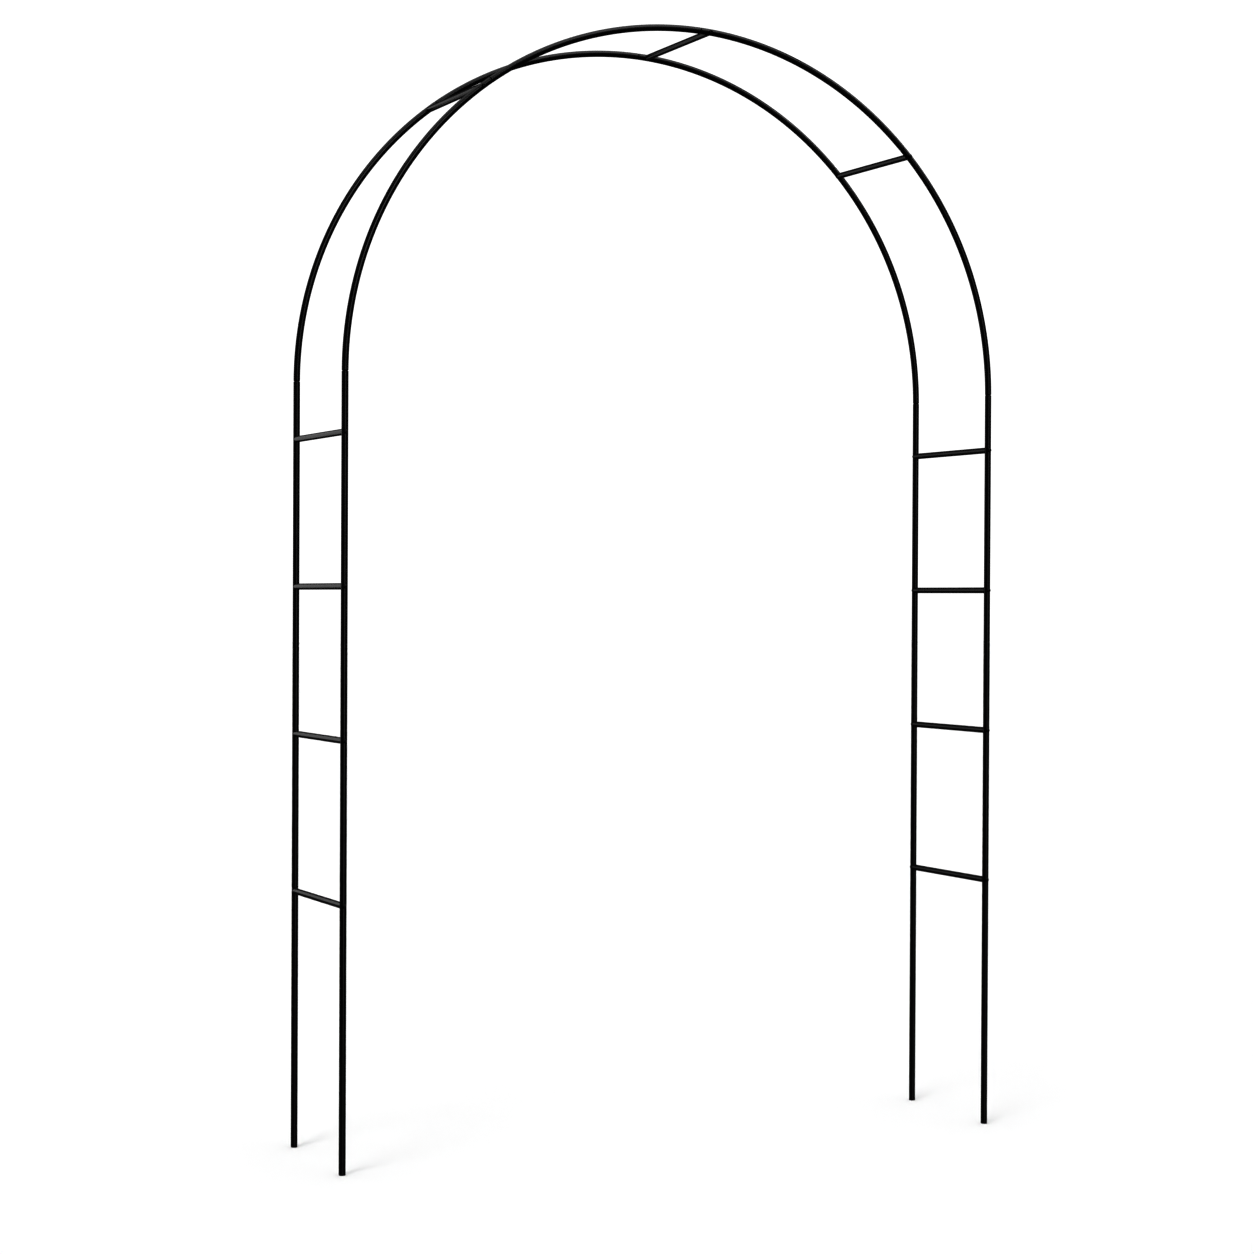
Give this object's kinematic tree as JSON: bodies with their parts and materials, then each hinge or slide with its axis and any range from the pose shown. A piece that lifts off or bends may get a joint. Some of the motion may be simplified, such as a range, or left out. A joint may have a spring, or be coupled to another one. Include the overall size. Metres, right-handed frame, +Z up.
{
  "type": "garden trellis arch",
  "caption": "Round-topped walk-through garden arch of black metal tube, with ladder-like rungs for climbing plants.",
  "frame": {"origin": "on the ground, at the middle of the four feet", "axes": "+X across the walkway to the right, +Y through the walkway to the rear hoop, +Z up"},
  "size_m": [1.4, 0.3162, 2.1997],
  "materials": {
    "powder_coat": "semi-gloss black powder coat",
    "black_steel": "satin blackened steel",
    "black_plastic": "matt black"
  },
  "bodies": {
    "root": {"leg_right_front": "powder_coat", "shoulder_right_front": "powder_coat", "crown_right_front": "powder_coat", "crown_left_front": "powder_coat", "shoulder_left_front": "powder_coat", "leg_left_front": "powder_coat", "leg_right_rear": "powder_coat", "shoulder_right_rear": "powder_coat", "crown_right_rear": "powder_coat", "crown_left_rear": "powder_coat", "shoulder_left_rear": "powder_coat", "leg_left_rear": "powder_coat", "rung_left_1": "powder_coat", "rung_left_2": "powder_coat", "rung_left_3": "powder_coat", "rung_left_4": "powder_coat", "rung_right_1": "powder_coat", "rung_right_2": "powder_coat", "rung_right_3": "powder_coat", "rung_right_4": "powder_coat", "rung_arch_right": "powder_coat", "rung_arch_top": "powder_coat", "rung_arch_left": "powder_coat", "screw_left_1_front": "black_steel", "screw_left_1_rear": "black_steel", "screw_left_2_front": "black_steel", "screw_left_2_rear": "black_steel", "screw_left_3_front": "black_steel", "screw_left_3_rear": "black_steel", "screw_left_4_front": "black_steel", "screw_left_4_rear": "black_steel", "screw_right_1_front": "black_steel", "screw_right_1_rear": "black_steel", "screw_right_2_front": "black_steel", "screw_right_2_rear": "black_steel", "screw_right_3_front": "black_steel", "screw_right_3_rear": "black_steel", "screw_right_4_front": "black_steel", "screw_right_4_rear": "black_steel", "screw_arch_right_front": "black_steel", "screw_arch_right_rear": "black_steel", "screw_arch_top_front": "black_steel", "screw_arch_top_rear": "black_steel", "screw_arch_left_front": "black_steel", "screw_arch_left_rear": "black_steel", "foot_cap_left_front": "black_plastic", "foot_cap_right_front": "black_plastic", "foot_cap_left_rear": "black_plastic", "foot_cap_right_rear": "black_plastic"}
  },
  "joints": []
}
